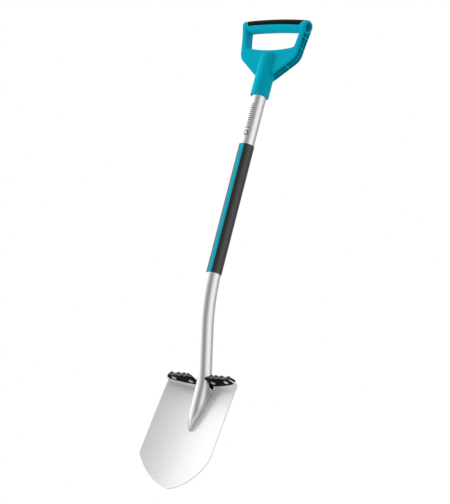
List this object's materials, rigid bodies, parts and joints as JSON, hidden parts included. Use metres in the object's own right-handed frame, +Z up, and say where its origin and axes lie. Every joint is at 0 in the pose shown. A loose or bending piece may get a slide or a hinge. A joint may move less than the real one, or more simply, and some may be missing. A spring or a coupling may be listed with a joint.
{
  "type": "garden spade",
  "caption": "Pointed garden spade: dished steel blade with foot treads, cranked tubular shaft with a grip sleeve, and a moulded D-handle.",
  "frame": {"origin": "the cutting tip of the blade", "axes": "+Z up along the straight part of the shaft, -Y towards the hollow front face of the blade, +X to the right seen from the front"},
  "size_m": [0.208, 0.1085, 1.1723],
  "materials": {
    "blade_steel": "pale silver-grey enamel, satin",
    "tread_plastic": "black fine-grained plastic",
    "rivet_steel": "zinc-plated steel",
    "tube_paint": "silver, smooth and glossy",
    "weld_metal": "weld ripples under the same pale enamel",
    "sleeve_plastic": "black, soft sheen",
    "stripe_plastic": "teal, satin",
    "handle_plastic": "teal, finely grained moulding",
    "insert_rubber": "black soft moulding, matt",
    "handle_rivet_steel": "zinc-plated steel"
  },
  "bodies": {
    "root": {"blade": "blade_steel", "tread_pad_right": "tread_plastic", "tread_pad_left": "tread_plastic", "tread_rivets": "rivet_steel", "rivet_washers": "rivet_steel", "shaft_tube": "tube_paint", "weld_bead_right": "weld_metal", "weld_bead_left": "weld_metal", "shaft_sleeve": "sleeve_plastic", "sleeve_stripe": "stripe_plastic", "d_handle": "handle_plastic", "palm_insert": "insert_rubber", "handle_rivet": "handle_rivet_steel"}
  },
  "joints": []
}
